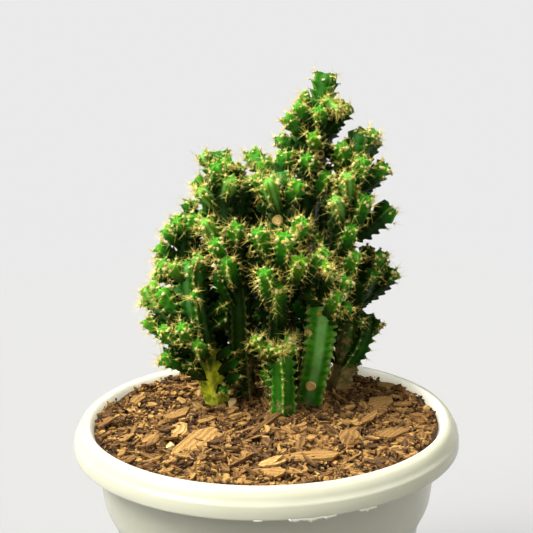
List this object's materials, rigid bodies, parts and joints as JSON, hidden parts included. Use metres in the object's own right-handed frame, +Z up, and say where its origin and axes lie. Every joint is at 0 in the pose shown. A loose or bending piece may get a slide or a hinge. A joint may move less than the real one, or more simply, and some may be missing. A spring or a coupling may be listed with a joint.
{
  "type": "fairy castle cactus in a pot",
  "caption": "Clumping columnar cactus with ribbed, spiny stems crowded with small offsets, rooted in bark mix in a round plastic pot with a rolled rim.",
  "frame": {"origin": "centre of the pot's flat underside", "axes": "+Z up, +X to the right and -Y towards the viewer of the plant's front"},
  "size_m": [0.13, 0.13, 0.2229],
  "materials": {
    "pot": "satin cream polypropylene",
    "soil": "loose shredded bark and coir",
    "cactus": "waxy green skin with felted areoles and short spines"
  },
  "bodies": {
    "root": {"pot": "pot", "soil": "soil", "front_stem": "cactus", "right_stem": "cactus", "right_rear_stem": "cactus", "right_tall_stem": "cactus", "tall_stem": "cactus", "centre_stem": "cactus", "middle_stem": "cactus", "left_stem": "cactus", "left_rear_stem": "cactus", "rear_stem": "cactus", "right_back_stem": "cactus"}
  },
  "joints": []
}
